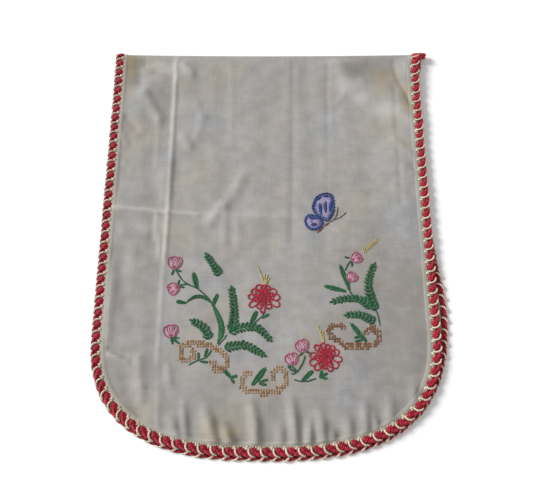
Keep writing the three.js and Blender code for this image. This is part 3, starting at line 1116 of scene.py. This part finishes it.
def satin(thread, base, tip, width, apart=0.85, above=0.0):
    """Satin stitch: stitches side by side across a lozenge from base to tip."""
    base, way, _, left = frame_of(base, tip)
    for share in np.linspace(0.08, 0.92, max(3, round(np.linalg.norm(way) / apart))):
        half = max(0.5, width / 2 * math.sin(math.pi * share))
        sew(thread, base + share * way - half * left, base + share * way + half * left, FLOSS, above)


BUD_OUTLINE = [
    (0, 0), (-0.55, 0.12), (-0.98, 0.48), (-0.86, 0.86), (-0.48, 1.0), (-0.2, 0.86), (0.12, 1.04),
    (0.42, 0.88), (0.8, 0.92), (1.0, 0.52), (0.58, 0.12), (0, 0),
]
BUD_FOLDS = [
    [(-0.5, 0.9), (-0.45, 0.5), (0, 0.16), (0.42, 0.5), (0.5, 0.88)],
    [(-0.2, 0.84), (-0.28, 0.6), (0, 0.42), (0.26, 0.6), (0.14, 0.82)],
]


def bud(base, centre, size):
    """A pink bud: a scalloped outline, two folded petals inside it and pale stitches between them."""
    base, _, ahead, left = frame_of(base, centre)

    def spot(aside, along):
        return base + size * (0.54 * aside * left + along * ahead)

    for aside in np.linspace(-0.8, 0.8, 7):
        sew("pale_pink", spot(0.35 * aside, 0.12), spot(aside, 0.92 - 0.3 * abs(aside)), 1.5)
    stem("pink", [spot(*place) for place in BUD_OUTLINE], 1.6, 1.5)
    for fold in BUD_FOLDS:
        stem("pink", [spot(*place) for place in fold], 1.4, 1.5)
    sew("rose", spot(0, 0.05), spot(-0.2, 0.42), 1.5)
    sew("rose", spot(0, 0.05), spot(0.2, 0.42), 1.5)


def carnation(centre, petals, core):
    """A red flower: wide looped petals that overlap, a ring of shorter ones on top and a close middle."""
    centre = np.array(centre, float)
    for angle, inner, outer, width in petals:
        turn = math.radians(angle + sewing_draw.uniform(-7, 7))
        outer = outer * sewing_draw.uniform(0.92, 1.06)
        direction = np.array([math.cos(turn), math.sin(turn)])
        loop("red", centre + inner * direction, centre + outer * direction, width, 12, 2.1)
        sew("deep_red", centre + (inner - 2) * direction, centre + mix(inner, outer, 0.35) * direction, 2.0)
    for angle, inner, outer, width in petals[::2]:
        turn = math.radians(angle + sewing_draw.uniform(8, 24))
        direction = np.array([math.cos(turn), math.sin(turn)])
        loop("red", centre + 0.3 * core * direction, centre + 0.74 * outer * direction, 0.85 * width, 10, 2.0)
    for angle in range(20, 380, 45):
        turn = math.radians(angle)
        direction = np.array([math.cos(turn), math.sin(turn)])
        sew("deep_red", centre - 0.3 * core * direction, centre + 0.8 * core * direction, 2.0)


def stamens(base, tips):
    """Long straight yellow stitches that fan out from the top of a flower."""
    for tip in tips:
        sew("yellow", base, mix(np.array(base, float), np.array(tip, float), 0.6), 1.6)
        stem("yellow", [base, 0.5 * (np.array(base) + np.array(tip)), tip], 1.2, 2.4)


# %% Cross stitch
CROSS = 2.9


def scroll(points, band=3.4, accent="gold", accent_share=0.25):
    """A scroll in cross stitch: every square of the cloth's own grid that lies within a band of the curve."""
    path = curve(points, 1.0)
    low, high = path.min(axis=0) - band, path.max(axis=0) + band
    for across in np.arange(math.floor(low[0] / CROSS), math.ceil(high[0] / CROSS) + 1):
        for up in np.arange(math.floor(low[1] / CROSS), math.ceil(high[1] / CROSS) + 1):
            middle = np.array([across, up]) * CROSS
            if np.linalg.norm(path - middle, axis=1).min() > band:
                continue
            half = 0.46 * CROSS
            thread = accent if sewing_draw.random() < accent_share else "tan"
            sew(thread, middle + (-half, -half), middle + (half, half), 1.45)
            sew(thread, middle + (-half, half), middle + (half, -half), 1.35)


# %% [markdown]
# ## The motifs in their places
# The embroidery is of the common cottage kind: sprays of ferns and buds, two red flowers with yellow stamens,
# three tan scrolls and a butterfly. Each place below is in millimetres from the centre line and the fold.

# %% Left spray
stem("green", [(-108, -300), (-99, -313), (-90, -319), (-80, -324), (-70, -333), (-62, -343)])
stem("green", [(-102, -319), (-96, -318), (-91, -318)])
bud((-110, -299), (-109, -289), 16)
bud((-103, -320), (-113, -325), 14)
bud((-109, -382), (-110, -372), 15.5)
for base, tip, width in [
    ((-108, -300), (-101, -302), 2.2),
    ((-110, -300), (-112, -306), 2.2),
    ((-104, -319), (-103, -313), 2.2),
    ((-103, -320), (-97, -322), 2.2),
    ((-109, -382), (-107, -389), 2.4),
    ((-109, -382), (-100, -382), 2.4),
    ((-107, -383), (-99, -389), 2.2),
    ((-81, -324), (-87, -302), 6.5),
    ((-93, -341), (-105, -339), 5.0),
    ((-63, -345), (-57, -329), 5.0),
]:
    leaf("green", base, tip, width)
for aside in (-2.2, -1.1, 0, 1.1, 2.2):
    stem(
        "green" if abs(aside) > 2 else "leaf_green",
        [(-62 + 0.3 * aside, -343), (-56 + aside, -356), (-52 + 1.2 * aside, -368), (-52 + aside, -379),
            (-56, -389)],
        1.5,
    )
for aside in (-1.5, 0, 1.5):
    stem("green", [(-64, -341), (-71, -335 + aside), (-78, -333 + aside), (-85, -334 + aside),
        (-93, -340)], 1.4)
stem("green", [(-45, -378), (-49, -384), (-55, -391)], 1.3)
print("left spray sewn:", sum(map(len, stitches.values())), "stitches so far")

# %% Ferns
for points, reach in [
    ([(-55, -307), (-64, -293), (-72, -281)], 7.5),
    ([(-42, -374), (-38, -363), (-38, -345), (-41, -323)], 8.5),
    ([(-65, -384), (-72, -370), (-86, -362)], 8.0),
    ([(-43, -376), (-32, -371), (-21, -369), (-9, -371), (4, -384)], 8.0),
    ([(-48, -394), (-35, -391), (-22, -391), (-3, -402)], 8.0),
    ([(127, -350), (120, -325), (121, -310), (128, -294)], 8.0),
    ([(123, -347), (114, -339), (104, -335), (90, -336), (77, -339)], 8.0),
    ([(126, -363), (109, -355), (93, -355)], 7.5),
]:
    fern("green", points, reach)
stem("green", [(125, -346), (128, -352), (130, -360), (131, -368)], 1.4)
print("ferns sewn:", len(stitches["green"]), "green stitches")

# %% Sprigs in and beside the scrolls
stem("green", [(-62, -396), (-69, -405), (-76, -407), (-88, -413)])
for base, tip, width in [
    ((-70, -404), (-67, -394), 3.0),
    ((-77, -407), (-77, -399), 2.6),
    ((-75, -409), (-66, -410), 3.0),
    ((-40, -427), (-47, -419), 4.5),
    ((-40, -427), (-33, -425), 3.5),
    ((-40, -427), (-36, -433), 3.0),
    ((-16, -436), (0, -415), 7.0),
    ((-8, -432), (2, -429), 3.0),
    ((-8, -434), (0, -435), 3.0),
    ((115, -387), (96, -363), 6.0),
    ((109, -380), (101, -382), 3.0),
    ((110, -384), (101, -387), 3.0),
]:
    leaf("green", base, tip, width)
stem("green", [(-18, -370), (-12, -363), (-5, -357), (-2, -351)], 1.3)
leaf("green", (-18, -366), (-11, -350), 6.0)
leaf("green", (-5, -359), (3, -354), 2.6)

# %% Scrolls
scroll([(-84, -397), (-83, -403), (-90, -407), (-96, -405), (-98, -398), (-95, -391), (-85, -388),
    (-72, -389), (-60, -393), (-50, -399), (-44, -407), (-49, -417), (-58, -417), (-61, -410)])
scroll([(-18, -421), (-25, -424), (-28, -434), (-22, -441), (-10, -443), (4, -443), (15, -440),
    (21, -433), (22, -424), (15, -417), (9, -421), (7, -427)])
scroll([(89, -370), (81, -366), (73, -370), (73, -379), (82, -385), (92, -390), (110, -391),
    (124, -389), (129, -382), (126, -373), (119, -371), (114, -376)], 3.4, "rust", 0.75)
scroll([(90, -394), (104, -395), (116, -395)], 1.6, "rust", 0.75)
print("scrolls sewn:", len(stitches["tan"]), "tan stitches")

# %% Left red flower
carnation(
    (-3, -334),
    [
        (4, 5, 18, 10), (36, 5, 18, 11), (66, 6, 16, 9), (92, 5, 15, 9), (122, 6, 17, 10), (150, 5, 18, 11),
        (180, 6, 18, 9), (207, 5, 20, 9), (238, 4, 15, 9), (266, 4, 19, 7), (296, 4, 15, 9), (332, 5, 20, 10),
    ],
    7,
)
stamens((-2, -319), [(-7, -306), (-2, -305), (2, -305), (5, -309), (-11, -295)])

# %% Right red flower and its buds
carnation(
    (67, -403),
    [
        (16, 5, 17, 9), (-9, 6, 21, 9), (44, 5, 15, 8), (74, 4, 15, 7), (108, 4, 16, 8), (140, 5, 18, 8),
        (170, 6, 18, 9), (203, 5, 19, 10), (233, 5, 19, 9), (262, 4, 15, 7), (287, 5, 19, 9),
        (322, 6, 19, 10),
    ],
    7,
)
stamens((66, -388), [(59, -367), (62, -372), (65, -374)])
bud((44, -398), (39, -387), 14.5)
bud((31, -413), (28, -404), 14)
stem("green", [(44, -402), (42, -409), (38, -416), (33, -422), (28, -423)])
stem("green", [(31, -429), (37, -431), (46, -431), (56, -428)])
outlined_leaf("green", (34, -420), (24, -414), 4.5)
leaf("green", (40, -431), (53, -419), 5.5)
leaf("green", (45, -398), (51, -400), 2.2)
leaf("green", (42, -399), (38, -402), 2.0)
leaf("green", (60, -427), (63, -419), 3.0)
leaf("green", (61, -426), (69, -422), 3.0)
leaf("green", (60, -427), (69, -428), 2.6)

# %% Right spray
bud((102, -288), (109, -284), 12.5)
bud((97, -314), (103, -307), 12.5)
stem("green", [(101, -288), (97, -293), (93, -301)])
stem("green", [(97, -314), (97, -319), (98, -325)])
stem("green", [(94, -318), (99, -329), (106, -335)])
leaf("green", (96, -321), (87, -292), 5.5)
leaf("green", (94, -327), (66, -319), 6.0)
leaf("green", (100, -285), (94, -284), 2.0)
leaf("green", (102, -289), (102, -295), 2.0)
fern("yellow", [(115, -277), (125, -270), (134, -262)], 5.0, 3.2, 1.2)

# %% [markdown]
# ### The butterfly
# The butterfly is sewn in blues: scalloped borders round both wings, lilac lines inside them, navy lozenges
# in satin stitch, a brown body and two dark feelers.

# %% Butterfly
UPPER_WING = [(75, -237), (81, -226), (82, -212), (80, -203), (74, -201), (67, -203), (62, -206),
    (59, -213), (57, -220), (60, -227), (68, -234)]
LOWER_WING = [(68, -238), (60, -232), (52, -230), (48, -235), (48, -241), (52, -247), (59, -248), (66, -244)]
for wing in (UPPER_WING, LOWER_WING):
    middle = curve(wing, 4.4).mean(axis=0)
    for place in curve(wing + wing[:1], 1.9):
        sew("lilac", mix(middle, place, 0.1), mix(middle, place, 0.88), 1.2)
    path = curve(wing + wing[:1], 4.4)
    for start, end in zip(path, path[1:]):
        halfway = 0.5 * (start + end)
        crest = halfway + 1.4 * (halfway - middle) / np.linalg.norm(halfway - middle)
        stem("navy", [start, crest, end], 2.3, 1.2)
        stem("blue", [mix(middle, spot, 0.86) for spot in (start, crest, end)], 1.9, 1.4)
for base, tip, width in [
    ((77, -226), (80, -210), 4.8),
    ((72, -228), (73, -210), 5.0),
    ((67, -230), (65, -213), 5.0),
    ((61, -210), (67, -205), 3.6),
    ((70, -204), (77, -204), 3.4),
    ((60, -234), (52, -234), 5.4),
    ((61, -241), (54, -243), 5.4),
]:
    satin("navy", base, tip, width, above=0.9)
satin("brown", (61, -253), (70, -244), 3.6)
satin("brown", (70, -244), (77, -239), 3.2)
stem("black", [(77, -239), (82, -236), (86, -229), (88, -218)], 0.9)
stem("black", [(82, -236), (90, -233), (98, -226)], 0.9)
print("butterfly sewn:", len(stitches["navy"]), "navy stitches")

# %% [markdown]
# ### From notes to thread
# Every noted stitch becomes one strand that dips into the cloth at both ends and bows up a little between
# them. Hands are not machines, so the ends of each stitch stray by a fraction of a millimetre.

# %% Make the threads
STITCH_SHARES = np.array([0, 0.1, 0.36, 0.64, 0.9, 1])
STITCH_FULLNESS = np.array([0, 0.75, 1, 1, 0.75, 0])
STITCH_BOW = np.array([-0.6, 0.1, 0.4, 0.4, 0.1, -0.6])
STITCH_STRAY = 0.16
STITCH_FLATNESS = 0.6
FLOSS_SIDES = 5
thread_draw = np.random.default_rng(31)


def sewn_strands(rows):
    """Strands of the noted stitches, on the upper layer of the cloth."""
    rows = np.array(rows, float)
    ends = rows[:, :4] + thread_draw.normal(0, STITCH_STRAY, (len(rows), 4))
    radius = rows[:, 4] / 2 * thread_draw.uniform(0.88, 1.12, len(rows))
    layer = rows[:, 5] + thread_draw.uniform(0, 0.35, len(rows))
    x = mix(ends[:, :1], ends[:, 2:3], STITCH_SHARES)
    y = mix(ends[:, 1:2], ends[:, 3:4], STITCH_SHARES)
    height = CLOTH_THICKNESS / 2 + radius[:, None] * STITCH_BOW + layer[:, None] * STITCH_FULLNESS
    paths = np.stack([x, run_on_top(x, y), height], axis=2)
    return strands(paths, radius[:, None] * STITCH_FULLNESS, FLOSS_SIDES, STITCH_FLATNESS)


# Lit and shaded copy of each floss colour, for the painted shade in the twist's grooves
FLOSS_COLOURS = {
    "green": ("#1d6439", "#0c3b20"),
    "leaf_green": ("#34734a", "#1e5032"),
    "red": ("#b3203b", "#821025"),
    "deep_red": ("#95152d", "#640b1a"),
    "pink": ("#b05b7c", "#8a425f"),
    "pale_pink": ("#c39aa5", "#a67b8a"),
    "rose": ("#a2486f", "#6e2b4c"),
    "yellow": ("#b8ab6a", "#8f8049"),
    "tan": ("#ab9177", "#88725b"),
    "gold": ("#947049", "#725131"),
    "rust": ("#835a42", "#5e3e2c"),
    "brown": ("#7d5a40", "#4e3424"),
    "navy": ("#2a437f", "#172750"),
    "blue": ("#4f62a6", "#323f78"),
    "lilac": ("#a79ebb", "#7f7699"),
    "black": ("#2b332c", "#141a16"),
}
floss_pieces = []
for thread, (light, dark) in FLOSS_COLOURS.items():
    material = spun_cotton(f"{thread}_cotton_floss", light, dark, 1.2, 0.4)
    floss_pieces.append(strand_piece(f"floss_{thread}", [sewn_strands(stitches[thread])], material))

# %% [markdown]
# ## The hem's running stitch
# The hem is held by a row of small stitches in ecru thread, which sink into the groove at the hem's inner
# edge.

# %% Hem stitches
HEM_STITCH = 2.4
HEM_STITCH_PITCH = 3.4
HEM_THREAD_RADIUS = 0.35
hem_count = round(outline_length[-1] / HEM_STITCH_PITCH)
hem_starts = np.arange(hem_count)[:, None] * outline_length[-1] / hem_count
hem_inset = np.full((hem_count, len(STITCH_SHARES)), -HEM_WIDTH)
hem_flat = beside_outline(hem_starts + STITCH_SHARES * HEM_STITCH, hem_inset)
hem_height_up = CLOTH_THICKNESS / 2 - GROOVE_DEPTH + 0.3 * STITCH_BOW
hem_paths = np.concatenate([hem_flat, np.broadcast_to(hem_height_up, hem_flat.shape[:2])[..., None]], axis=2)
# Lit and shaded copy of the thread's colour, for the painted shade in the twist's grooves
hem_thread = spun_cotton("ecru_sewing_thread", "#a2967e", "#746a55", 0.8, 0.3)
hem_strands = strands(hem_paths, HEM_THREAD_RADIUS * STITCH_FULLNESS, FLOSS_SIDES)
hem_stitches = strand_piece("hem_stitches", [hem_strands], hem_thread)

# %% [markdown]
# ## Ride and replace
# Every piece rides on the one body. The linen takes the place of the cloth's solid and the crochet that of
# the edging's.

# %% Ride and replace
sewn_on = [red_crochet, ecru_crochet, hem_stitches] + floss_pieces
for piece in [linen_panel] + sewn_on:
    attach(piece, "root")
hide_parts("cloth")
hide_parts("edging")
